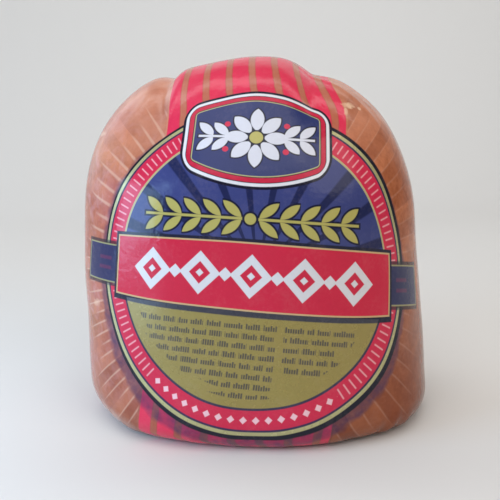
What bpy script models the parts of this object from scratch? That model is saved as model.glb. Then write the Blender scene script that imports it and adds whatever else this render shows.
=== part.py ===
"""A shut shop pack: a whole moulded ham, closely wrapped in printed film.

The pack stands upright on a flat foot. Its level sections are rounded squares whose four
sides each have an outline of their own, and its crown has a raised middle lobe that runs
from front to back between two shallow creases.
Metres, +Z up, label towards -Y, origin on the floor under the middle of the pack.
"""

import math

import bmesh
import bpy
import numpy as np
from mathutils import Vector

# Height of the crown's dome, where the pack's middle is taken, and how square a level section is
HEIGHT = 0.1207
CAST_HEIGHT = 0.055
SECTION_POWER = 2.28

# One outline for each side: how far it reaches from the middle, how much more it reaches at
# the floor (a lean, then a flare), where the dome starts, how square the dome is, and the
# radius and squareness of the rounded foot
LEFT = {"reach": 0.0566, "lean": 0.10, "flare": 0.0, "dome": 0.0471, "dome_power": 3.4,
        "foot": 0.0160, "foot_power": 2.15}
RIGHT = {"reach": 0.0544, "lean": -0.06, "flare": 0.18, "dome": 0.0595, "dome_power": 2.57,
         "foot": 0.0125, "foot_power": 2.5}
FRONT = {"reach": 0.0456, "lean": -0.08, "flare": 0.0, "dome": 0.0690, "dome_power": 1.95,
         "foot": 0.0090, "foot_power": 2.0}
BACK = {"reach": 0.0433, "lean": -0.03, "flare": 0.0, "dome": 0.0640, "dome_power": 2.2,
        "foot": 0.0140, "foot_power": 2.0}

# The raised middle lobe of the crown: its height, and for each side how far out its crease
# lies, how square the lobe is, and the crease's depth and half width
LOBE_RISE = 0.0027
LOBE_FADE = (0.097, 0.118)
LOBE_LEFT = {"edge": 0.0250, "power": 1.35, "crease": 0.0019, "crease_width": 0.0034}
LOBE_RIGHT = {"edge": 0.0218, "power": 3.4, "crease": 0.0015, "crease_width": 0.0068}

# Facets along each edge of the block that the pack is shaped from, and what counts as floor
FACETS = 26
FLOOR_SNAP = 0.00002

FILM_COLOUR = (0.47, 0.19, 0.10, 1.0)
FILM_ROUGHNESS = 0.32


def clear_scene():
    for item in list(bpy.data.objects):
        bpy.data.objects.remove(item, do_unlink=True)


def reach(side, z):
    """How far a side stands from the middle at height z."""
    down = np.clip(1 - z / HEIGHT, 0, 1)
    wall = side["reach"] * (1 + side["lean"] * down + side["flare"] * down ** 2)
    low = np.clip(1 - z / side["foot"], 0, 1)
    power = side["foot_power"]
    wall = wall - side["foot"] * (1 - (1 - low ** power) ** (1 / power))
    high = np.clip((z - side["dome"]) / (HEIGHT - side["dome"]), 0, 1)
    power = side["dome_power"]
    return wall * (1 - high ** power) ** (1 / power)


def is_inside(points):
    x, y, z = points.T
    half_width = np.where(x < 0, reach(LEFT, z), reach(RIGHT, z)) + 1e-9
    half_depth = np.where(y < 0, reach(FRONT, z), reach(BACK, z)) + 1e-9
    section = (np.abs(x) / half_width) ** SECTION_POWER + (np.abs(y) / half_depth) ** SECTION_POWER
    return (section < 1) & (z > 0) & (z < HEIGHT)


def cast_outwards(directions):
    """The points where rays from inside the pack leave it, found by halving."""
    start = np.array((0.0, 0.0, CAST_HEIGHT))
    near = np.zeros(len(directions))
    far = np.full(len(directions), 2 * HEIGHT)
    for _ in range(48):
        middle = (near + far) / 2
        inside = is_inside(start + directions * middle[:, None])
        near = np.where(inside, middle, near)
        far = np.where(inside, far, middle)
    return start + directions * near[:, None]


def smooth_step(value, low, high):
    t = np.clip((value - low) / (high - low), 0, 1)
    return t * t * (3 - 2 * t)


def lobe_relief(side, across):
    """The lobe's rise less its crease, at a distance to one side of the middle."""
    lobe = LOBE_RISE * (1 - np.clip(across / side["edge"], 0, 1) ** side["power"])
    crease = np.exp(-((across - side["edge"]) / side["crease_width"]) ** 2)
    return lobe - side["crease"] * crease


def crown_relief(points):
    """How far the crown's lobe and creases move the film outwards."""
    x, _, z = points.T
    relief = np.where(x < 0, lobe_relief(LOBE_LEFT, -x), lobe_relief(LOBE_RIGHT, x))
    return relief * smooth_step(z, *LOBE_FADE)


def make_block():
    """A cube on the unit sphere, each face split evenly by angle."""
    block = bmesh.new()
    bmesh.ops.create_cube(block, size=2)
    bmesh.ops.subdivide_edges(block, edges=block.edges, cuts=FACETS - 1, use_grid_fill=True)
    for vertex in block.verts:
        spread = Vector([math.tan(value * math.pi / 4) for value in vertex.co])
        vertex.co = spread.normalized()
    return block


def film_material():
    material = bpy.data.materials.new("printed_film")
    material.use_nodes = True
    shader = material.node_tree.nodes["Principled BSDF"]
    shader.inputs["Base Color"].default_value = FILM_COLOUR
    shader.inputs["Roughness"].default_value = FILM_ROUGHNESS
    shader.inputs["Metallic"].default_value = 0.0
    return material


def shape_pack(block):
    """Moves the block's points out to the wrapped ham and stands it on the origin."""
    directions = np.array([vertex.co[:] for vertex in block.verts])
    points = cast_outwards(directions)
    points += directions * crown_relief(points)[:, None]
    points[:, :2] -= (points[:, :2].min(axis=0) + points[:, :2].max(axis=0)) / 2
    points[points[:, 2] < FLOOR_SNAP, 2] = 0
    for vertex, point in zip(block.verts, points):
        vertex.co = point


def make_ham_pack():
    block = make_block()
    shape_pack(block)
    bmesh.ops.recalc_face_normals(block, faces=block.faces)
    mesh = bpy.data.meshes.new("ham_pack")
    block.to_mesh(mesh)
    block.free()
    mesh.shade_smooth()
    mesh.materials.append(film_material())
    pack = bpy.data.objects.new("ham_pack", mesh)
    bpy.context.collection.objects.link(pack)
    return pack


clear_scene()
make_ham_pack()
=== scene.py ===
import math

import bmesh
import bpy
import numpy as np
from mathutils import Matrix, Vector


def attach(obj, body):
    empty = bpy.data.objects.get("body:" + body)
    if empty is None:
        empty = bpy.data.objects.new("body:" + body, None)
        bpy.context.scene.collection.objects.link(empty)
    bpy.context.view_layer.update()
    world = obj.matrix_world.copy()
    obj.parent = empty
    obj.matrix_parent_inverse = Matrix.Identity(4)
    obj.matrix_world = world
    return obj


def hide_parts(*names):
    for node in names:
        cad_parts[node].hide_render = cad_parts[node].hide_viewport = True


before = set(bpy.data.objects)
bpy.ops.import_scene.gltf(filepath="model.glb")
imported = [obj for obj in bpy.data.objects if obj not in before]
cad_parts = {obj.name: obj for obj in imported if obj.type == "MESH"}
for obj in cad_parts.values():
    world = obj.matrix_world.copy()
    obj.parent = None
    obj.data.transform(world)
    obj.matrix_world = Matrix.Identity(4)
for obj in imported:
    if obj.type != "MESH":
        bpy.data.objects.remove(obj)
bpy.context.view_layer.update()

mm = 0.001               # every size below is in millimetres

# The wrapped ham, as the solid has it: one outline for each of its four sides
pack = {
    "height": 120.7, "castFrom": 55.0, "squareness": 2.28,
    "left": {"reach": 56.6, "lean": 0.10, "flare": 0.0, "dome": 47.1, "domePower": 3.4,
             "foot": 16.0, "footPower": 2.15},
    "right": {"reach": 54.4, "lean": -0.06, "flare": 0.18, "dome": 59.5, "domePower": 2.57,
              "foot": 12.5, "footPower": 2.5},
    "front": {"reach": 45.6, "lean": -0.08, "flare": 0.0, "dome": 69.0, "domePower": 1.95,
              "foot": 9.0, "footPower": 2.0},
    "back": {"reach": 43.3, "lean": -0.03, "flare": 0.0, "dome": 64.0, "domePower": 2.2,
             "foot": 14.0, "footPower": 2.0},
    "lobeRise": 2.7, "lobeFade": (97, 118),
    "lobeLeft": {"edge": 25.0, "power": 1.35, "crease": 1.9, "width": 3.4},
    "lobeRight": {"edge": 21.8, "power": 3.4, "crease": 1.5, "width": 6.8},
    "facets": 126,       # along each edge of the block that the film is shaped from
    "floorSnap": 0.02,   # what lies lower than this is put on the floor
}

# What shrinking leaves on the film: heights and widths of its undulations, pleats and welded lap
shrink = {
    "seed": 7, "floorFade": (0.0, 1.5),
    "waves": 26, "waveHeight": 0.34, "waveLength": (22, 46),
    "footPleats": 34, "footPleatDepth": 0.30, "footPleatTop": (9, 19), "footPleatWidth": (1.6, 3.4),
    "footPleatBend": 0.5, "footPleatFade": 0.35, "footPleatFloor": (0.0, 3.0),
    "crownPleats": 16, "crownPleatDepth": 0.26, "crownPleatLow": (94, 108), "crownPleatWidth": (1.8, 3.6),
    "crownPleatBend": 0.4, "crownPleatRise": 9, "crownPleatTop": (116, 120.5),
    "pleatShare": (0.3, 1), "bankShare": 0.55, "bankAt": 1.5, "bankWidth": 0.9,
    "lapAngle": 93.0, "lapWidth": 9.0, "lapNear": 0.5, "lapFar": 2.5, "lapEnds": (100, 113),
    "lapRise": 0.22, "lapPucker": 0.10, "lapPuckerLength": 7.0, "lapPuckerSway": 9.0,
}


def smoothStep(value, low, high):
    t = np.clip((value - low) / (high - low), 0, 1)
    return t * t * (3 - 2 * t)


def reach(side, z):                        # how far one side stands from the middle at a height
    down = np.clip(1 - z / pack["height"], 0, 1)
    wall = side["reach"] * (1 + side["lean"] * down + side["flare"] * down ** 2)
    low, power = np.clip(1 - z / side["foot"], 0, 1), side["footPower"]
    wall = wall - side["foot"] * (1 - (1 - low ** power) ** (1 / power))
    high = np.clip((z - side["dome"]) / (pack["height"] - side["dome"]), 0, 1)
    return wall * (1 - high ** side["domePower"]) ** (1 / side["domePower"])


def halfWidths(x, y, z):
    return (np.where(x < 0, reach(pack["left"], z), reach(pack["right"], z)) + 1e-6,
            np.where(y < 0, reach(pack["front"], z), reach(pack["back"], z)) + 1e-6)


def castOutwards(directions):              # where rays from inside leave the pack, by halving
    start = np.array((0, 0, pack["castFrom"]))
    near, far = np.zeros(len(directions)), np.full(len(directions), 2 * pack["height"])
    for _ in range(30):
        middle = (near + far) / 2
        x, y, z = (start + directions * middle[:, None]).T
        a, b = halfWidths(x, y, z)
        power = pack["squareness"]
        inside = (np.abs(x) / a) ** power + (np.abs(y) / b) ** power < 1
        inside &= (z > 0) & (z < pack["height"])
        near, far = np.where(inside, middle, near), np.where(inside, far, middle)
    return start + directions * near[:, None]


def lobeRelief(points):                    # the crown's raised middle lobe between its two creases
    x, z = points[:, 0], points[:, 2]
    relief = np.zeros(len(points))
    for sign, side in ((-1, pack["lobeLeft"]), (1, pack["lobeRight"])):
        across = x * sign
        lobe = pack["lobeRise"] * (1 - np.clip(across / side["edge"], 0, 1) ** side["power"])
        lobe -= side["crease"] * np.exp(-((across - side["edge"]) / side["width"]) ** 2)
        relief = np.where(across >= 0, lobe, relief)
    return relief * smoothStep(z, *pack["lobeFade"])


def filmPlace(points):
    # where each point lies on the film: the angle round the section, the length of film round
    # from the front and from the back, and the length of film up the front and up the back
    x, y, z = points.T
    a, b = halfWidths(x, y, z)
    power = pack["squareness"]
    rho = np.minimum(((np.abs(x) / a) ** power + (np.abs(y) / b) ** power) ** (1 / power), 1)
    a, b = a * rho, b * rho
    aside, ahead = np.sign(x) * (np.abs(x) / a) ** (power / 2), -np.sign(y) * (np.abs(y) / b) ** (power / 2)
    angle = np.arctan2(aside, ahead)

    front, back = reach(pack["front"], z) * rho, reach(pack["back"], z) * rho

    def sectionPoint(turn):
        s, c = np.sin(turn), np.cos(turn)
        depth = np.where(c > 0, front, back)
        return a * np.abs(s) ** (2 / power), -depth * np.sign(c) * np.abs(c) ** (2 / power)

    def filmLength(start, end, steps=40):
        length, (lastX, lastY) = np.zeros(len(x)), sectionPoint(start)
        for step in range(1, steps + 1):
            nextX, nextY = sectionPoint(start + (end - start) * step / steps)
            length += np.hypot(nextX - lastX, nextY - lastY)
            lastX, lastY = nextX, nextY
        return length

    turn = np.abs(angle)
    fromFront = np.sign(x) * filmLength(0 * turn, turn)
    fromBack = np.sign(x) * filmLength(0 * turn + math.pi, turn)
    levels = pack["height"] * (1 - np.cos(np.linspace(0, math.pi, 4001))) / 2
    ups = []
    for side in (pack["front"], pack["back"]):
        rise = np.hypot(np.diff(levels), np.diff(reach(side, levels)))
        up = np.interp(z, levels, np.concatenate([[0], np.cumsum(rise)]))
        ups.append(up - (1 - rho) * side["reach"])
    return angle, fromFront, fromBack, ups[0], ups[1]


def shrinkRelief(points, angle):
    # undulations, pleats at foot and crown, and the lap, as heights above the smooth form
    draw = np.random.default_rng(shrink["seed"])
    z = points[:, 2]
    relief = np.zeros(len(points))
    for _ in range(shrink["waves"]):
        way = draw.normal(size=3)
        way /= np.linalg.norm(way)
        length = draw.uniform(*shrink["waveLength"])
        relief += np.sin(points @ way * (2 * math.pi / length) + draw.uniform(0, 2 * math.pi))
    relief *= shrink["waveHeight"] / math.sqrt(shrink["waves"])
    radius = np.hypot(points[:, 0], points[:, 1]) + 1

    def pleat(end, strength):              # a groove between two banks, or a ridge between two grooves
        centre, bend = draw.uniform(-math.pi, math.pi), draw.normal() * shrink[end + "Bend"]
        width = draw.uniform(*shrink[end + "Width"])
        depth = shrink[end + "Depth"] * draw.uniform(*shrink["pleatShare"]) * draw.choice((-1, 1))
        offset = angle - centre - bend * (z / pack["height"])
        away = np.abs((offset + math.pi) % (2 * math.pi) - math.pi) * radius / width
        banks = np.exp(-((away - shrink["bankAt"]) / shrink["bankWidth"]) ** 2)
        return strength * depth * (np.exp(-away ** 2) - shrink["bankShare"] * banks)

    for _ in range(shrink["footPleats"]):
        top = draw.uniform(*shrink["footPleatTop"])
        strength = 1 - smoothStep(z, top * shrink["footPleatFade"], top)
        relief += pleat("footPleat", strength * smoothStep(z, *shrink["footPleatFloor"]))
    for _ in range(shrink["crownPleats"]):
        low = draw.uniform(*shrink["crownPleatLow"])
        strength = smoothStep(z, low, low + shrink["crownPleatRise"])
        relief += pleat("crownPleat", strength * (1 - smoothStep(z, *shrink["crownPleatTop"])))
    # the welded lap runs up one side, behind the front's edge and clear of both printed rounds
    across = (angle - math.radians(shrink["lapAngle"])) * radius
    near, far, width = shrink["lapNear"], shrink["lapFar"], shrink["lapWidth"]
    sheet = smoothStep(across, -near, near) * (1 - smoothStep(across, width, width + far))
    sheet *= 1 - smoothStep(z, *shrink["lapEnds"])
    sway = 2 * np.sin(z / shrink["lapPuckerSway"])
    pucker = np.sin(z * 2 * math.pi / shrink["lapPuckerLength"] + sway) * shrink["lapPucker"]
    return (relief + sheet * (shrink["lapRise"] + pucker)) * smoothStep(z, *shrink["floorFade"])


# How the print lies on the film: its middle round and up the film, its tilt, and its stretch
labelPlace = {
    "aside": 3.79, "up": 66.6, "tilt": 5.94, "scale": 50.0,
    "stretchP": (1.97, 3.43, -0.81), "stretchQ": (3.98, -0.92, 2.52),
    "backAside": 2.0, "backUp": 64.0, "backTilt": -1.5,
}

# Where the band runs: on the walls, over the crown, where it leans and spreads, and under the foot
bandPlace = {
    "wallShift": 1.4,
    "crownHeight": 104.0, "crownShift": 4.9, "crownLean": 0.2, "crownScale": 1.08, "crownSpread": 0.008,
    "crownFade": (97, 111),
    "underShift": 3.5, "underScale": 1.03, "underFade": (0.0, 5.0),
}


def printPoint(aside, up, tilt, stretched):
    turn = math.radians(tilt)
    p = aside * math.cos(turn) - up * math.sin(turn)
    q = aside * math.sin(turn) + up * math.cos(turn)
    if stretched:
        du, dv = p / labelPlace["scale"], q / labelPlace["scale"]
        pushes = [s[0] * dv * dv + s[1] * du * dv + s[2] * du * du
                  for s in (labelPlace["stretchP"], labelPlace["stretchQ"])]
        p, q = p + pushes[0], q + pushes[1]
    return p, q


def makeFilm():
    block = bmesh.new()
    bmesh.ops.create_cube(block, size=2)
    bmesh.ops.subdivide_edges(block, edges=block.edges, cuts=pack["facets"] - 1, use_grid_fill=True)
    bmesh.ops.recalc_face_normals(block, faces=block.faces)
    mesh = bpy.data.meshes.new("printedPack")
    block.to_mesh(mesh)
    block.free()
    count = len(mesh.vertices)
    corners = np.zeros(count * 3)
    mesh.vertices.foreach_get("co", corners)
    directions = np.tan(corners.reshape(-1, 3) * math.pi / 4)
    directions /= np.linalg.norm(directions, axis=1)[:, None]
    body = castOutwards(directions)
    angle, fromFront, fromBack, upFront, upBack = filmPlace(body)
    points = body + directions * lobeRelief(body)[:, None]
    shift = (points[:, :2].min(axis=0) + points[:, :2].max(axis=0)) / 2

    mesh.vertices.foreach_set("co", points.ravel())
    mesh.update()
    normals = np.zeros(count * 3)
    mesh.vertex_normals.foreach_get("vector", normals)
    points = points + normals.reshape(-1, 3) * shrinkRelief(body, angle)[:, None]
    points[:, :2] -= shift
    points[body[:, 2] < pack["floorSnap"], 2] = 0
    mesh.vertices.foreach_set("co", (points * mm).ravel())

    frontAside, frontUp = fromFront - labelPlace["aside"], upFront - labelPlace["up"]
    backAside, backUp = labelPlace["backAside"] - fromBack, upBack - labelPlace["backUp"]
    front = printPoint(frontAside, frontUp, labelPlace["tilt"], True)
    back = printPoint(backAside, backUp, labelPlace["backTilt"], False)
    isFront = np.abs(angle) < math.pi / 2
    p, q = (np.where(isFront, front[i], back[i]) for i in (0, 1))
    x, z = body[:, 0], body[:, 2]
    onWall = np.where(isFront, p + bandPlace["wallShift"], -p - bandPlace["wallShift"])
    above = z - bandPlace["crownHeight"]
    overCrown = x - bandPlace["crownShift"] + above * bandPlace["crownLean"]
    overCrown = overCrown * (bandPlace["crownScale"] + above * bandPlace["crownSpread"])
    beneath = (x + bandPlace["underShift"]) * bandPlace["underScale"]
    crown = smoothStep(z, *bandPlace["crownFade"])
    under = 1 - smoothStep(z, *bandPlace["underFade"])
    across = onWall * (1 - crown) * (1 - under) + overCrown * crown + beneath * under
    addPoints(mesh, "labelPoint", p, q, np.cos(angle))
    addPoints(mesh, "bandPoint", across, z, np.degrees(angle))
    mesh.shade_smooth()
    film = bpy.data.objects.new("printedPack", mesh)
    bpy.context.collection.objects.link(film)
    return film, shift


def addPoints(mesh, name, *values):
    layer = mesh.attributes.new(name, "FLOAT_VECTOR", "POINT")
    layer.data.foreach_set("vector", np.stack(values, axis=1).astype(np.float32).ravel())


class Wire:
    # one output socket of the film's shader; maths on it adds the nodes
    tree = None

    def __init__(self, socket):
        self.socket = socket

    @classmethod
    def add(cls, kind, settings=None, sockets=None, output=0):
        made = cls.tree.nodes.new(kind)
        for name, value in (settings or {}).items():
            setattr(made, name, value)
        for name, value in (sockets or {}).items():
            if isinstance(value, Wire):
                cls.tree.links.new(value.socket, made.inputs[name])
            else:
                made.inputs[name].default_value = value
        return cls(made.outputs[output])

    def also(self, output):                # another output of the same node
        return Wire(self.socket.node.outputs[output])

    @classmethod
    def maths(cls, operation, *values, clamp=False):
        settings = {"operation": operation, "use_clamp": clamp}
        return cls.add("ShaderNodeMath", settings, dict(enumerate(values)))

    def __add__(self, other):
        return Wire.maths("ADD", self, other)

    def __radd__(self, other):
        return Wire.maths("ADD", other, self)

    def __sub__(self, other):
        return Wire.maths("SUBTRACT", self, other)

    def __rsub__(self, other):
        return Wire.maths("SUBTRACT", other, self)

    def __mul__(self, other):
        return Wire.maths("MULTIPLY", self, other)

    def __rmul__(self, other):
        return Wire.maths("MULTIPLY", other, self)

    def __truediv__(self, other):
        return Wire.maths("DIVIDE", self, other)

    def __rtruediv__(self, other):
        return Wire.maths("DIVIDE", other, self)

    def __pow__(self, other):
        return Wire.maths("POWER", self, other)

    def __rpow__(self, other):
        return Wire.maths("POWER", other, self)

    def __neg__(self):
        return Wire.maths("MULTIPLY", self, -1)

    def __abs__(self):
        return Wire.maths("ABSOLUTE", self)

    def __gt__(self, other):
        return Wire.maths("GREATER_THAN", self, other)

    def __lt__(self, other):
        return Wire.maths("LESS_THAN", self, other)

    def floor(self):
        return Wire.maths("FLOOR", self)

    def fraction(self):
        return Wire.maths("FRACT", self)

    def clamped(self):
        return Wire.maths("ADD", self, 0.0, clamp=True)


def larger(a, b):
    return Wire.maths("MAXIMUM", a, b)


def smaller(a, b):
    return Wire.maths("MINIMUM", a, b)


def hypot(a, b):
    return Wire.maths("SQRT", a * a + b * b)


def within(distance, soft=0.20):           # 1 inside, 0 outside, over a narrow soft edge
    return Wire.maths("MULTIPLY_ADD", distance, -1 / soft, 0.5, clamp=True)


def mixed(a, b, share):                    # share of b over a, for colours
    return Wire.add("ShaderNodeMix", {"data_type": "RGBA"}, {0: share, 6: a, 7: b}, output=2)


def paint(red, green, blue):               # a colour as it looks on a screen, 0 to 255
    def linear(c):
        c /= 255
        return c / 12.92 if c <= 0.04045 else ((c + 0.055) / 1.055) ** 2.4
    return (linear(red), linear(green), linear(blue), 1.0)


def parts(vector):
    made = Wire.add("ShaderNodeSeparateXYZ", None, {0: vector})
    return made, made.also(1), made.also(2)


def attribute(name):
    return Wire.add("ShaderNodeAttribute", {"attribute_name": name}, None, output="Vector")


def noise(where, size, detail=2.0, roughness=0.5, distortion=0.0):
    sockets = {"Vector": where, "Scale": 1 / (size * mm), "Detail": detail, "Roughness": roughness,
               "Distortion": distortion}
    return Wire.add("ShaderNodeTexNoise", None, sockets, output="Fac")


def chance(value):                         # a fixed random number for each whole number
    return Wire.add("ShaderNodeTexWhiteNoise", {"noise_dimensions": "1D"}, {"W": value})


def toNearest(value, pitch):               # signed distance to the nearest multiple of a pitch
    return ((value / pitch + 0.5).fraction() - 0.5) * pitch


def leaf(x, y, halfLength, halfWidth):     # distance to a pointed leaf that lies along x
    radius = (halfLength ** 2 + halfWidth ** 2) / (2 * halfWidth)
    return hypot(x, abs(y) + (radius - halfWidth)) - radius


def turned(x, y, degrees):
    c, s = math.cos(math.radians(degrees)), math.sin(math.radians(degrees))
    return x * c + y * s, y * c - x * s


# The tan print all round, mottled, with painted light laid on it: pink patches and pale haze painted
# stronger to the left where the window's haze falls, painted shade darker at the foot and to the right,
# and a painted sheen over the shoulders; patches are given by the size of their noise, its gain and its
# level
hamField = {
    "dark": paint(144, 74, 40), "pale": paint(196, 118, 78),
    "blotches": (6.0, 2.3, -0.62), "grain": (1.3, 0.8),
    "pink": paint(182, 100, 100), "pinkPatches": (21.0, 2.0, -0.5), "pinkLeft": (0.4, 100),
    "paintedHaze": paint(198, 138, 134), "bloomPatches": (5.0, 3.2, -1.5), "bloomLeft": (0.28, 90),
    "bloomRise": (25, 60),
    "foot": paint(116, 55, 27), "footTop": 60.0, "footRight": (0.6, 160),
    "shoulderSheen": paint(210, 146, 120), "shoulderFrom": 84.0, "shoulderOver": 26.0,
    "shoulderPatches": (9.0, 1.6, -0.12),
}


def patches(where, settings, detail=2.0, roughness=0.5, distortion=0.0):
    size, gain, level = settings
    return (noise(where, size, detail, roughness, distortion) * gain + level).clamped()


def hamPrintAndPaintedLight(where, across, height):
    def towardsLeft(share, over):
        return (share - across / over).clamped()

    size, gain, level = hamField["blotches"]
    grainSize, grainGain = hamField["grain"]
    grain = (noise(where, grainSize, 2.0) - 0.5) * grainGain
    tone = noise(where, size, 4.0, 0.62, 0.6) * gain + level + grain
    ink = mixed(hamField["dark"], hamField["pale"], tone.clamped())
    # pink patches of the print's own tone, laid stronger to the left as painted window haze
    pinkTintAndHaze = patches(where, hamField["pinkPatches"], 1.0) * towardsLeft(*hamField["pinkLeft"])
    ink = mixed(ink, hamField["pink"], pinkTintAndHaze)
    # pale pink patches, stronger to the left and higher up: painted haze from the window's reflection
    paintedHaze = patches(where, hamField["bloomPatches"], 4.0, 0.6, 0.8) * towardsLeft(*hamField["bloomLeft"])
    start, over = hamField["bloomRise"]
    ink = mixed(ink, hamField["paintedHaze"], paintedHaze * ((height + start) / over).clamped())
    # darker towards the foot and more so to the right: painted shade
    share, over = hamField["footRight"]
    low = (1 - height / hamField["footTop"]).clamped() * (across / over + share).clamped()
    ink = mixed(ink, hamField["foot"], low)
    # paler patches over the shoulders: a painted sheen
    rise = ((height - hamField["shoulderFrom"]) / hamField["shoulderOver"]).clamped()
    return mixed(ink, hamField["shoulderSheen"], rise * patches(where, hamField["shoulderPatches"], 3.0))


# Pale dashes that spread from the round, each with its own length, and cells of other tones between:
# wide and clear on the left, fine and faint on the right, and closer together at the lower left
dashes = {
    "pitch": 5.0, "wander": 0.35, "wanderSize": 24.0, "closeFrom": -100.0, "close": 0.4,
    "width": 0.5, "wideLeft": 0.55, "leftOver": 60.0, "taper": 17.0, "tip": 0.3, "ends": (56.5, 68.0),
    "colour": paint(216, 172, 148), "share": 0.38, "drift": -0.0032, "bandGap": 0.6,
    "cellDark": paint(126, 60, 38), "cellPale": paint(206, 132, 98), "cellShare": 0.68, "paleShare": 0.8,
    "cellFade": 11.0, "cellSeed": 400.0,
}


def dashPrint(ink, p, radius, angle, across, shadow, where):
    close = larger(dashes["closeFrom"] - angle, 0) * dashes["close"]
    wander = (noise(where, dashes["wanderSize"], 1.0) - 0.5) * dashes["wander"]
    cell = (angle - close) / dashes["pitch"] + wander
    offset = abs(cell.fraction() - 0.5) * radius * math.radians(dashes["pitch"])
    shortest, longest = dashes["ends"]
    end = chance(cell.floor()) * (longest - shortest) + shortest
    clearOfBand = within(band["halfWidth"] + dashes["bandGap"] - abs(across), 0.5)
    left = (0.5 - p / dashes["leftOver"]).clamped()
    tail = (1 - (radius - roundel["radius"]) / dashes["taper"]).clamped()
    taper = tail * (1 - dashes["tip"]) + dashes["tip"]
    halfWidth = (left * dashes["wideLeft"] + dashes["width"]) * taper / 2
    dash = within(offset - halfWidth, 0.55) * within(radius - end, 5.0) * clearOfBand * (1 - shadow)
    tone = chance((cell + 0.5).floor() + dashes["cellSeed"]) - 0.5
    tone = tone * within(radius - longest, dashes["cellFade"]) * dashes["cellShare"] * clearOfBand
    ink = mixed(ink, dashes["cellDark"], tone.clamped())
    ink = mixed(ink, dashes["cellPale"], (tone * -dashes["paleShare"]).clamped())
    strength = Wire.maths("MULTIPLY_ADD", p, dashes["drift"], dashes["share"], clamp=True)
    return mixed(ink, dashes["colour"], dash * strength)


# The red band over the crown, with the tan showing in narrow stripes
band = {
    "halfWidth": 29.0, "stripe": 0.9, "pitch": 8.1, "stripeWidth": 2.3, "ragged": 0.5, "raggedSize": 2.6,
    "red": paint(223, 54, 85),
    "deep": paint(204, 44, 78), "deepShare": 0.6, "deepPatches": (14.0, 2.4, -0.9),
    "stripeTan": paint(160, 94, 62), "tanShare": 0.55, "stripeShare": 0.88,
    "rim": paint(142, 66, 50), "rimWidth": 0.12, "rimShare": 0.4,
}


def bandPrint(ink, across, where):
    field = within(abs(across) - band["halfWidth"], 0.3)
    ragged = (noise(where, band["raggedSize"], 2.0) - 0.5) * band["ragged"]
    stripe = abs(toNearest(across - band["stripe"], band["pitch"])) + ragged - band["stripeWidth"] / 2
    red = mixed(band["red"], band["deep"], patches(where, band["deepPatches"]) * band["deepShare"])
    ink = mixed(ink, band["stripeTan"], field * band["tanShare"])
    ink = mixed(ink, red, field * (1 - within(stripe, 0.45) * band["stripeShare"]))
    return mixed(ink, band["rim"], within(abs(stripe) - band["rimWidth"], 0.4) * field * band["rimShare"])


# The round: a blurred shadow, a dark outline, a gold ring, a red ring with ticks, and its middle
roundel = {
    "radius": 51.6,
    "shadow": paint(52, 44, 84), "shadowReach": 52.5, "shadowShift": (0.0, -2.6), "shadowBlur": 1.5,
    "shadowRipple": 3.0, "rippleSize": 5.0, "shadowGain": 0.8, "shadowLevel": 0.18, "shadowSize": 3.0,
    "outline": paint(24, 26, 40), "outlineReach": 51.15, "outlineShift": (0.35, -0.2),
    "rings": ((49.95, paint(176, 170, 116)), (48.85, paint(58, 44, 78)), (48.2, paint(204, 42, 74))),
    "tick": paint(236, 172, 178), "tickPitch": 2.8, "tickWidth": 0.44, "tickReach": (43.7, 47.2),
    "tickShare": 0.85,
    "diamond": paint(242, 200, 206), "diamondPitch": 4.6, "diamondHalf": 1.105,
    "diamondsBelow": (-127.0, -52.0), "diamondShare": 0.9,
    "line": 42.6, "upperLine": paint(178, 168, 124), "lowerLine": paint(54, 48, 74),
    "field": 41.9, "split": -3.0, "blue": paint(60, 67, 120), "gold": paint(146, 129, 56),
    "ray": paint(32, 38, 78), "rayPitch": 16.4, "rayHalfWidth": 2.3, "fanMiddle": (1.6, -1.4),
}


def outside(middle, reach, p, q):          # distance outside a circle
    return hypot(p - middle[0], q - middle[1]) - reach


def roundShadow(p, q, where):
    ripple = (noise(where, roundel["rippleSize"], 1.0) - 0.5) * roundel["shadowRipple"]
    edge = outside(roundel["shadowShift"], roundel["shadowReach"], p, q) + ripple
    return within(edge, roundel["shadowBlur"])


def roundelPrint(ink, p, q, radius, angle, shadow, where):
    depth = noise(where, roundel["shadowSize"], 2.0) * roundel["shadowGain"] + roundel["shadowLevel"]
    ink = mixed(ink, roundel["shadow"], shadow * depth)
    outline = outside(roundel["outlineShift"], roundel["outlineReach"], p, q)
    ink = mixed(ink, roundel["outline"], within(outline, 0.3))
    for edge, colour in roundel["rings"]:
        ink = mixed(ink, colour, within(radius - edge))
    # ticks all round the red ring, but for a run of small diamonds at the bottom
    first, last = roundel["diamondsBelow"]
    below = within(first - angle, 0.4) * within(angle - last, 0.4)
    offset = abs(toNearest(angle, roundel["tickPitch"])) * radius * math.radians(1)
    low, high = roundel["tickReach"]
    fromMiddle = abs(radius - (low + high) / 2)
    tick = within(offset - roundel["tickWidth"] / 2, 0.3) * within(fromMiddle - (high - low) / 2, 0.4)
    ink = mixed(ink, roundel["tick"], tick * (1 - below) * roundel["tickShare"])
    along = toNearest(angle, roundel["diamondPitch"]) * (math.radians(1) * (low + high) / 2)
    diamond = within(abs(along) + fromMiddle - roundel["diamondHalf"], 0.3) * below
    ink = mixed(ink, roundel["diamond"], diamond * roundel["diamondShare"])
    # the middle: blue with dark rays above, dull gold below
    fanP, fanQ = roundel["fanMiddle"]
    fan = Wire.maths("ARCTAN2", q - fanQ, p - fanP) * math.degrees(1)
    fromRay = abs(toNearest(fan - 90 + roundel["rayPitch"] / 2, roundel["rayPitch"]))
    rays = within(fromRay - roundel["rayHalfWidth"], 0.9)
    upper = q > roundel["split"]
    field = mixed(roundel["gold"], mixed(roundel["blue"], roundel["ray"], rays), upper)
    line = mixed(roundel["lowerLine"], roundel["upperLine"], upper)
    ink = mixed(ink, line, within(radius - roundel["line"]))
    return mixed(ink, field, within(radius - roundel["field"]))


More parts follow.
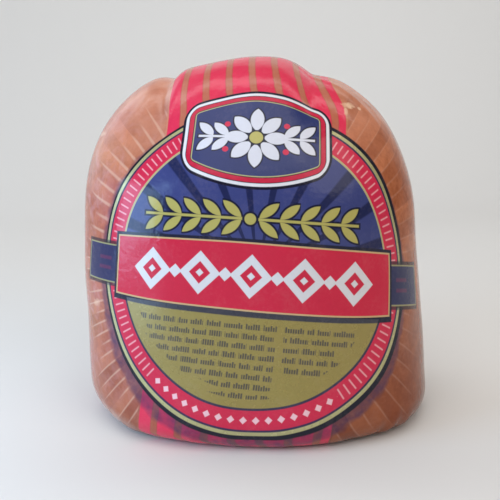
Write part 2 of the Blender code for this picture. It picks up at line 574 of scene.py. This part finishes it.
# Rows of small strokes, tall and short, in uneven groups, which make two blocks on the gold
smallPrint = {
    "top": -17.1, "pitch": 2.93, "height": 1.7, "shorter": 0.45, "shortShare": 0.55,
    "stroke": 0.72, "strokeHalf": 0.34, "word": 5.2, "wordGap": 0.085, "wordUneven": 0.9,
    "rowSeed": 31.0, "rowShift": 7.0, "strokeSeed": 83.0, "wordSeed": 9.37,
    "colour": paint(44, 40, 46), "share": 0.9, "reach": 39.6, "raggedEnd": 3.0,
    "leftRows": 8, "leftEdge": 8.6, "rightRows": 5, "rightEdge": 10.8, "rightLength": (14.0, 27.0),
}


def smallPrintPrint(ink, p, q, radius):
    row = (smallPrint["top"] - q) / smallPrint["pitch"]
    index = row.floor()
    rise = row.fraction() * smallPrint["pitch"]
    draw = chance(index + smallPrint["rowSeed"])
    stroke = p / smallPrint["stroke"] + draw * smallPrint["rowShift"]
    tall = chance(stroke.floor() + index * smallPrint["strokeSeed"])
    top = (tall < smallPrint["shortShare"]) * smallPrint["shorter"]
    bar = within(abs(stroke.fraction() - 0.5) - smallPrint["strokeHalf"], 0.2)
    bar = bar * within(top - rise, 0.15) * within(rise - smallPrint["height"], 0.15)
    gap = Wire.add("ShaderNodeTexVoronoi", {"voronoi_dimensions": "1D", "feature": "DISTANCE_TO_EDGE"},
                   {"W": p / smallPrint["word"] + index * smallPrint["wordSeed"], "Scale": 1.0,
                    "Randomness": smallPrint["wordUneven"]}, output="Distance")
    bar = bar * within(smallPrint["wordGap"] - gap, 0.03)
    inside = within(radius - smallPrint["reach"] + draw * smallPrint["raggedEnd"], 0.3) * (index > -0.5)
    left = within(p - smallPrint["leftEdge"], 0.3) * (index < smallPrint["leftRows"] - 0.5)
    shortest, longest = smallPrint["rightLength"]
    along = p - smallPrint["rightEdge"]
    right = within(-along, 0.3) * within(along - shortest - draw * (longest - shortest), 0.3)
    right = right * (index < smallPrint["rightRows"] - 0.5)
    return mixed(ink, smallPrint["colour"], bar * inside * larger(left, right) * smallPrint["share"])


# Navy tabs behind the banner's ends, each with two plain bars
tabs = {
    "top": 3.2, "bottom": -9.4, "left": 61.0, "right": 61.5,
    "colour": paint(42, 44, 84), "line": paint(150, 144, 104), "lineWidth": 0.45,
    "shade": paint(40, 34, 46), "shadeShare": 0.85, "shadeTall": 1.1, "shadeEnds": 0.5,
    "mark": paint(128, 46, 80), "markShare": 0.4, "markAt": (50.5, 1.6), "markHalf": (3.2, 0.55),
}


def tabPrint(ink, p, q):
    middle, half = (tabs["top"] + tabs["bottom"]) / 2, (tabs["top"] - tabs["bottom"]) / 2
    rise = abs(q - middle)
    tall = rise - half
    ends = larger(-p - tabs["left"], p - tabs["right"])
    shade = within(larger(tall - tabs["shadeTall"], ends - tabs["shadeEnds"]), 0.4)
    ink = mixed(ink, tabs["shade"], shade * tabs["shadeShare"])
    tab = larger(tall, ends)
    ink = mixed(ink, tabs["line"], within(tab))
    ink = mixed(ink, tabs["colour"], within(tab + tabs["lineWidth"]))
    (markP, markQ), (halfP, halfQ) = tabs["markAt"], tabs["markHalf"]
    marks = within(abs(rise - markQ) - halfQ, 0.5) * within(abs(abs(p) - markP) - halfP, 0.5)
    return mixed(ink, tabs["mark"], marks * tabs["markShare"])


# The plate above: a cartouche with a white border and a red line, each layer so far outside its edge,
# and a rosette between two sprigs
plate = {
    "middle": (-0.9, 40.3), "half": (22.8, 10.2), "rise": 5.9, "corner": 4.0,
    "layers": ((0.9, "outline"), (0, "white"), (-1.0, "outline"), (-1.25, "red"), (-2.7, "outline"),
               (-2.95, "line"), (-3.3, "field")),
    "outline": paint(24, 24, 42), "white": paint(222, 221, 226), "red": paint(196, 36, 66),
    "line": paint(176, 170, 124), "field": paint(48, 56, 104),
    "motif": paint(212, 212, 222), "outlineWidth": 0.45,
    "petals": 8, "petalAt": 6.2, "petalHalf": (3.9, 2.1),
    "heart": paint(182, 172, 100), "heartSize": 2.1, "heartOutline": 0.5,
    "sprig": {"start": 8.7, "pitch": 4.7, "pairs": 2, "leafHalf": (3.4, 1.5), "lean": 42, "stem": 0.4},
    "berry": paint(206, 44, 78), "berryAt": (9.2, 4.5), "berrySize": 0.95,
}


def arch(x, y, halfWidth, rise):           # distance above a shallow arch that springs from y = 0
    radius = (halfWidth ** 2 + rise ** 2) / (2 * rise)
    return hypot(x, y + (radius - rise)) - radius


def sprigShape(x, y, sprig):
    # paired leaves along a stem that runs outwards
    index = smaller(larger(((x - sprig["start"]) / sprig["pitch"]).floor(), 0), sprig["pairs"] - 1)
    cell = x - sprig["start"] - (index + 0.5) * sprig["pitch"]
    halfLength, halfWidth = sprig["leafHalf"]
    rise = halfLength * math.sin(math.radians(sprig["lean"])) + sprig["stem"]
    leaves = leaf(*turned(cell, abs(y) - rise, sprig["lean"]), halfLength, halfWidth)
    end = sprig["start"] + sprig["pairs"] * sprig["pitch"]
    stalk = larger(abs(y) - sprig["stem"], larger(sprig["start"] - x, x - end))
    return smaller(leaves, stalk)


def plateEdge(x, y):
    halfWidth, halfHeight = plate["half"]
    aside = abs(x) - halfWidth + plate["corner"]
    above = arch(x, abs(y) - halfHeight, halfWidth, plate["rise"]) + plate["corner"]
    return hypot(larger(aside, 0), larger(above, 0)) + smaller(larger(aside, above), 0) - plate["corner"]


def platePrint(ink, p, q):
    x, y = p - plate["middle"][0], q - plate["middle"][1]
    edge = plateEdge(x, y)
    for inset, colour in plate["layers"]:
        ink = mixed(ink, plate[colour], within(edge - inset))
    away = hypot(x, y)
    fold = toNearest(Wire.maths("ARCTAN2", y, x), 2 * math.pi / plate["petals"])
    petalX = away * Wire.maths("COSINE", fold) - plate["petalAt"]
    petals = leaf(petalX, away * Wire.maths("SINE", fold), *plate["petalHalf"])
    motif = smaller(petals, sprigShape(abs(x), y, plate["sprig"]))
    ink = mixed(ink, plate["outline"], within(motif - plate["outlineWidth"]))
    ink = mixed(ink, plate["motif"], within(motif))
    berryX, berryY = plate["berryAt"]
    ink = mixed(ink, plate["berry"], within(hypot(abs(x) - berryX, abs(y) - berryY) - plate["berrySize"]))
    heart = away - plate["heartSize"]
    ink = mixed(ink, plate["outline"], within(heart - plate["heartOutline"]))
    return mixed(ink, plate["heart"], within(heart))


# The gold garland over the rays
garland = {
    "middle": (-1.2, 14.4), "gold": paint(176, 166, 94), "outline": paint(24, 26, 50), "outlineWidth": 0.6,
    "berry": 1.7,
    "sprig": {"start": 2.4, "pitch": 6.1, "pairs": 5, "leafHalf": (3.7, 1.35), "lean": 40, "stem": 0.4},
}


def garlandPrint(ink, p, q):
    x, y = abs(p - garland["middle"][0]), q - garland["middle"][1]
    shape = smaller(sprigShape(x, y, garland["sprig"]), hypot(x, y) - garland["berry"])
    ink = mixed(ink, garland["outline"], within(shape - garland["outlineWidth"]))
    return mixed(ink, garland["gold"], within(shape))


# The red banner, whose edges bow at the middle, with its frieze of lozenges and small squares between
banner = {
    "middle": -0.1, "half": 44.2, "top": (6.73, 0.68), "bottom": (-12.41, -1.08), "lineWidth": 0.5,
    "outlineTop": 1.0, "outlineBottom": 1.7, "outlineEnds": 0.9,
    "red": paint(200, 34, 64), "line": paint(200, 168, 122), "outline": paint(24, 26, 48),
    "white": paint(214, 212, 216), "friezeAt": -2.95, "pitch": 15.4, "eachSide": 2,
    "lozenge": (6.3, 6.7), "stroke": 2.2, "heart": 1.2, "between": 2.1,
}


def bannerPrint(ink, p, q):
    x = p - banner["middle"]
    bow = 1 - (x / banner["half"]) ** 2
    top = q - banner["top"][0] - bow * banner["top"][1]
    bottom = banner["bottom"][0] + bow * banner["bottom"][1] - q
    ends = abs(x) - banner["half"]
    outline = larger(top - banner["outlineTop"], bottom - banner["outlineBottom"])
    ink = mixed(ink, banner["outline"], within(larger(outline, ends - banner["outlineEnds"]), 0.3))
    edge = larger(larger(top, bottom), ends)
    ink = mixed(ink, banner["line"], within(edge))
    ink = mixed(ink, banner["red"], within(edge + banner["lineWidth"]))

    away, rise, pitch = abs(x), abs(q - banner["friezeAt"]), banner["pitch"]
    cell = abs(away - smaller((away / pitch + 0.5).floor(), banner["eachSide"]) * pitch)
    gap = abs(away - (smaller((away / pitch).floor(), banner["eachSide"] - 1) + 0.5) * pitch)
    halfX, halfY = banner["lozenge"]
    lozenge = (cell / halfX + rise / halfY - 1) / math.hypot(1 / halfX, 1 / halfY)
    ring = abs(lozenge + banner["stroke"] / 2) - banner["stroke"] / 2
    between = (gap + rise - banner["between"]) / math.sqrt(2)
    heart = (cell + rise - banner["heart"]) / math.sqrt(2)
    return mixed(ink, banner["white"], within(smaller(smaller(ring, between), heart)))


# Painted highlights where creases in the film catch the light: middle, half size and strength, on the
# label's own scale
paintedGlints = (
    ((29.6, 55.2), (2.6, 1.5), 0.85),
    ((34.6, 54.4), (0.9, 0.9), 0.7),
    ((28.2, 52.4), (0.8, 1.6), 0.5),
    ((-62.7, 41.0), (3.5, 1.3), 0.45),
    ((-55.0, -17.5), (2.2, 1.5), 0.4),
)
glintPaint = {
    "colour": paint(236, 196, 164), "edge": 0.8, "ragged": 1.6, "raggedSize": 1.6,
    "foot": paint(200, 170, 154), "footShare": 0.6, "footRagged": 0.25,
    "footTurn": -60.0, "footSpread": 20.0, "footHeight": 5.0,
}


def paintGlints(ink, p, q, facing, height, turn, where):
    ragged = (noise(where, glintPaint["raggedSize"], 2.0) - 0.5) * glintPaint["ragged"]
    # each a painted highlight on the front, where a crease catches the light
    for middle, half, share in paintedGlints:
        away = hypot((p - middle[0]) / half[0], (q - middle[1]) / half[1]) + ragged
        ink = mixed(ink, glintPaint["colour"], within(away - glintPaint["edge"], 0.7) * (facing > 0) * share)
    # a pale patch on the fold at the left front of the foot: a painted reflection of the floor
    aside = (turn - glintPaint["footTurn"]) / glintPaint["footSpread"]
    atFoot = hypot(aside, height / glintPaint["footHeight"] - 1) + ragged * glintPaint["footRagged"]
    return mixed(ink, glintPaint["foot"], within(atFoot - glintPaint["edge"], 0.8) * glintPaint["footShare"])


# The welded lap up one side: its two edges, the doubled print between them, the weld's dimples,
# and a painted shadow just outside its near edge
lap = {
    "tone": paint(120, 60, 38), "share": 0.22, "sway": 1.6, "swaySize": 18.0,
    "edge": paint(232, 190, 164), "edgeShare": 0.42, "farShare": 0.5, "edgeWidth": 0.5,
    "shadow": paint(84, 42, 30), "shadowAt": -0.45, "shadowHalf": 0.35, "shadowShare": 0.45,
    "weldAt": 6.6, "weldPitch": 2.4, "weldSize": 0.7, "weldShare": 0.28, "footEnd": 1.5,
}


def lapPrintAndPaintedShadow(plainer, turn, height, where):
    x, y, _ = parts(where)
    sway = (noise(where, lap["swaySize"], 1.0) - 0.5) * lap["sway"]
    along = (turn - shrink["lapAngle"]) * hypot(x, y) * (math.radians(1) / mm) + sway
    width = shrink["lapWidth"]
    sheet = within(abs(along - width / 2) - width / 2, 0.4)
    ink = mixed(plainer, lap["tone"], sheet * lap["share"])
    weld = within(hypot(along - lap["weldAt"], toNearest(height, lap["weldPitch"])) - lap["weldSize"], 0.6)
    ink = mixed(ink, lap["edge"], weld * lap["weldShare"])
    # a painted shadow just outside the lap's near edge, as the film's edge would cast
    shadow = within(abs(along - lap["shadowAt"]) - lap["shadowHalf"], 0.5)
    ink = mixed(ink, lap["shadow"], shadow * lap["shadowShare"])
    near, far = (abs(along - at) - lap["edgeWidth"] / 2 for at in (0, width))
    edges = larger(within(near, 0.3), within(far, 0.5) * lap["farShare"])
    ink = mixed(ink, lap["edge"], edges * lap["edgeShare"])
    low, high = shrink["lapEnds"]
    shown = within(height - (low + high) / 2, high - low) * within(lap["footEnd"] - height, 2.0)
    return mixed(plainer, ink, shown)


# The dull gold ink is a metallic one under a soft gloss, on the ring and on the lower half of the
# middle; the tabs, the banner and the plate cover it: their middle aside, half width and half height
goldInk = {
    "metallic": 0.22, "rough": 0.1, "coatRough": 0.4, "coatIor": 1.58,
    "level": -3.1, "tab": (52.0, 9.5, 6.8), "ribbon": (0.0, 45.0, 10.1), "plateRim": 0.9,
}


def goldShare(p, q, radius):
    def cover(name):
        middle, halfWidth, halfHeight = goldInk[name]
        return within(larger(abs(q - goldInk["level"]) - halfHeight, abs(abs(p) - middle) - halfWidth))

    ring = within(radius - roundel["rings"][0][0]) - within(radius - roundel["rings"][1][0])
    field = within(radius - roundel["field"]) * (q < roundel["split"])
    panel = within(plateEdge(p - plate["middle"][0], q - plate["middle"][1]) - goldInk["plateRim"])
    return (ring + field) * (1 - larger(larger(cover("tab"), cover("ribbon")), panel))


# How unevenly the ink lies on the film: fine wear on broad patches of it
wornInk = {
    "pale": paint(200, 176, 168), "dark": paint(30, 16, 18), "share": 0.13,
    "fineSize": 1.1, "broadSize": 9.0,
}

# The film's own gloss, its haze and its crinkle, and where the rounds stop at the sides, as front and
# back meet there
filmGloss = {
    "ior": 1.34, "rough": 0.09, "haze": 0.16, "hazeSize": 4.0,
    "crinkleSize": 2.2, "crinkleShare": 0.5, "rippleSize": 7.0, "bump": 0.35, "bumpHeight": 0.5,
    "sideFrom": 0.03, "sideGain": 30,
}


def makeFilmFinish():
    material = bpy.data.materials.new("printedFilm")
    material.use_nodes = True
    Wire.tree = material.node_tree
    shader = material.node_tree.nodes["Principled BSDF"]
    p, q, facing = parts(attribute("labelPoint"))
    across, height, turn = parts(attribute("bandPoint"))
    where = Wire.add("ShaderNodeTexCoord", None, None, output="Object")
    radius = hypot(p, q)
    angle = Wire.maths("ARCTAN2", q, p) * math.degrees(1)
    clear = ((abs(facing) - filmGloss["sideFrom"]) * filmGloss["sideGain"]).clamped()

    plain = bandPrint(hamPrintAndPaintedLight(where, across, height), across, where)
    shadow = roundShadow(p, q, where)
    ink = dashPrint(plain, p, radius, angle, across, shadow, where)
    ink = roundelPrint(ink, p, q, radius, angle, shadow, where)
    ink = smallPrintPrint(ink, p, q, radius)
    for addPrint in (tabPrint, platePrint, garlandPrint, bannerPrint):
        ink = addPrint(ink, p, q)
    ink = lapPrintAndPaintedShadow(mixed(plain, ink, clear), turn, height, where)
    ink = paintGlints(ink, p, q, facing, height, turn, where)
    wear = noise(where, wornInk["fineSize"], 3.0, 0.65) + noise(where, wornInk["broadSize"], 2.0) - 1.0
    ink = mixed(ink, wornInk["pale"], (wear * wornInk["share"]).clamped())
    ink = mixed(ink, wornInk["dark"], (wear * -wornInk["share"]).clamped())

    gold = goldShare(p, q, radius) * clear
    haze = noise(where, filmGloss["hazeSize"], 3.0, 0.6) * filmGloss["haze"]
    rough = haze + filmGloss["rough"] + gold * goldInk["rough"]
    crinkle = noise(where, filmGloss["crinkleSize"], 3.0, 0.55, 0.4) * filmGloss["crinkleShare"]
    crinkle = crinkle + noise(where, filmGloss["rippleSize"], 2.0)
    bump = Wire.add("ShaderNodeBump", None, {"Strength": filmGloss["bump"], "Height": crinkle,
                                             "Distance": filmGloss["bumpHeight"] * mm})
    varied = {"Base Color": ink, "Roughness": rough, "Metallic": gold * goldInk["metallic"],
              "Coat Weight": gold, "Normal": bump}
    for name, value in varied.items():
        Wire.tree.links.new(value.socket, shader.inputs[name])
    shader.inputs["IOR"].default_value = filmGloss["ior"]
    shader.inputs["Coat Roughness"].default_value = goldInk["coatRough"]
    shader.inputs["Coat IOR"].default_value = goldInk["coatIor"]
    return material


def dressPack():
    film, shift = makeFilm()
    film.data.materials.append(makeFilmFinish())
    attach(film, "root")
    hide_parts("ham_pack")
    print("film: ", len(film.data.polygons), "faces,", len(Wire.tree.nodes), "shader nodes")
    return shift


# The photo's view: where the camera looks, from how far, and how it is turned
shot = {
    "aim": (-1.92, 0.0, 57.2), "distance": 238.0, "azimuth": 7.0, "elevation": 11.73, "roll": -2.41,
    "lens": 48.03, "sensor": 36.0,
}


def makeCamera(shift):
    turn, rise, roll = (math.radians(shot[name]) for name in ("azimuth", "elevation", "roll"))
    back = Vector((math.sin(turn) * math.cos(rise), -math.cos(turn) * math.cos(rise), math.sin(rise)))
    right = (-back).cross(Vector((0, 0, 1))).normalized()
    up = right.cross(-back)
    c, s = math.cos(roll), math.sin(roll)
    right, up = right * c + up * s, up * c - right * s
    aim = Vector(shot["aim"]) - Vector((shift[0], shift[1], 0))
    data = bpy.data.cameras.new("camera")
    data.sensor_width = shot["sensor"]
    data.lens = shot["lens"]
    data.clip_start = 0.01
    camera = bpy.data.objects.new("camera", data)
    facing = Matrix((right, up, back)).transposed().to_4x4()
    camera.matrix_world = Matrix.Translation((aim + back * shot["distance"]) * mm) @ facing
    bpy.context.collection.objects.link(camera)
    bpy.context.scene.camera = camera


# A pale floor that curves up into a backdrop, and soft lights round it
studio = {
    "floor": paint(222, 220, 217), "floorRough": 0.8, "halfWidth": 900.0, "front": -700.0, "top": 900.0,
    "bend": 420.0, "radius": 260.0, "steps": 24,
    "world": (1.0, 0.97, 0.93, 1.0), "worldStrength": 0.16,
    "lights": (
        # name, azimuth, distance, height, the point aimed at, width, height of the panel, watts, colour
        ("window", -58.0, 320.0, 106.0, (0, 0, 106), 170.0, 205.0, 0.84, (0.44, 0.70, 1.0)),
        ("windowBehind", -118.0, 900.0, 420.0, (0, 0, 60), 1050.0, 750.0, 3.2, (0.74, 0.86, 1.0)),
        ("overhead", -4.0, 400.0, 640.0, (0, 0, 60), 700.0, 700.0, 2.8, (1.0, 0.98, 0.96)),
        ("right", 48.0, 560.0, 420.0, (0, 0, 70), 420.0, 420.0, 1.15, (1.0, 0.94, 0.87)),
        ("backdrop", 180.0, 150.0, 760.0, (0, 640, 330), 1200.0, 300.0, 3.0, (1.0, 1.0, 1.0)),
    ),
}


def makeStage():
    bend, radius = studio["bend"], studio["radius"]
    profile = [(studio["front"], 0.0), (bend, 0.0)]
    for step in range(1, studio["steps"] + 1):
        turn = math.pi / 2 * step / studio["steps"]
        profile.append((bend + radius * math.sin(turn), radius * (1 - math.cos(turn))))
    profile.append((bend + radius, studio["top"]))
    sheet = bmesh.new()
    rows = [[sheet.verts.new((side * studio["halfWidth"] * mm, y * mm, z * mm)) for side in (-1, 1)]
            for y, z in profile]
    for low, high in zip(rows, rows[1:]):
        sheet.faces.new((low[0], low[1], high[1], high[0]))
    mesh = bpy.data.meshes.new("studioFloor")
    sheet.to_mesh(mesh)
    sheet.free()
    mesh.shade_smooth()
    material = bpy.data.materials.new("studioPaper")
    material.use_nodes = True
    shader = material.node_tree.nodes["Principled BSDF"]
    shader.inputs["Base Color"].default_value = studio["floor"]
    shader.inputs["Roughness"].default_value = studio["floorRough"]
    mesh.materials.append(material)
    floor = bpy.data.objects.new("studioFloor", mesh)
    bpy.context.collection.objects.link(floor)


def makeLights():
    for name, azimuth, distance, height, target, width, tall, watts, colour in studio["lights"]:
        turn = math.radians(azimuth)
        place = Vector((math.sin(turn) * distance, -math.cos(turn) * distance, height))
        data = bpy.data.lights.new(name, "AREA")
        data.shape = "RECTANGLE"
        data.size, data.size_y = width * mm, tall * mm
        data.energy = watts
        data.color = colour
        light = bpy.data.objects.new(name, data)
        light.location = place * mm
        light.rotation_mode = "QUATERNION"
        light.rotation_quaternion = (Vector(target) - place).to_track_quat("-Z", "Y")
        light.visible_camera = False
        bpy.context.collection.objects.link(light)
    world = bpy.data.worlds.new("studioAir")
    world.use_nodes = True
    background = world.node_tree.nodes["Background"]
    background.inputs["Color"].default_value = studio["world"]
    background.inputs["Strength"].default_value = studio["worldStrength"]
    bpy.context.scene.world = world


makeLights()
makeStage()
shift = dressPack()
makeCamera(shift)
bpy.context.scene.view_settings.view_transform = "Standard"
print("stage, lights and camera are in place")
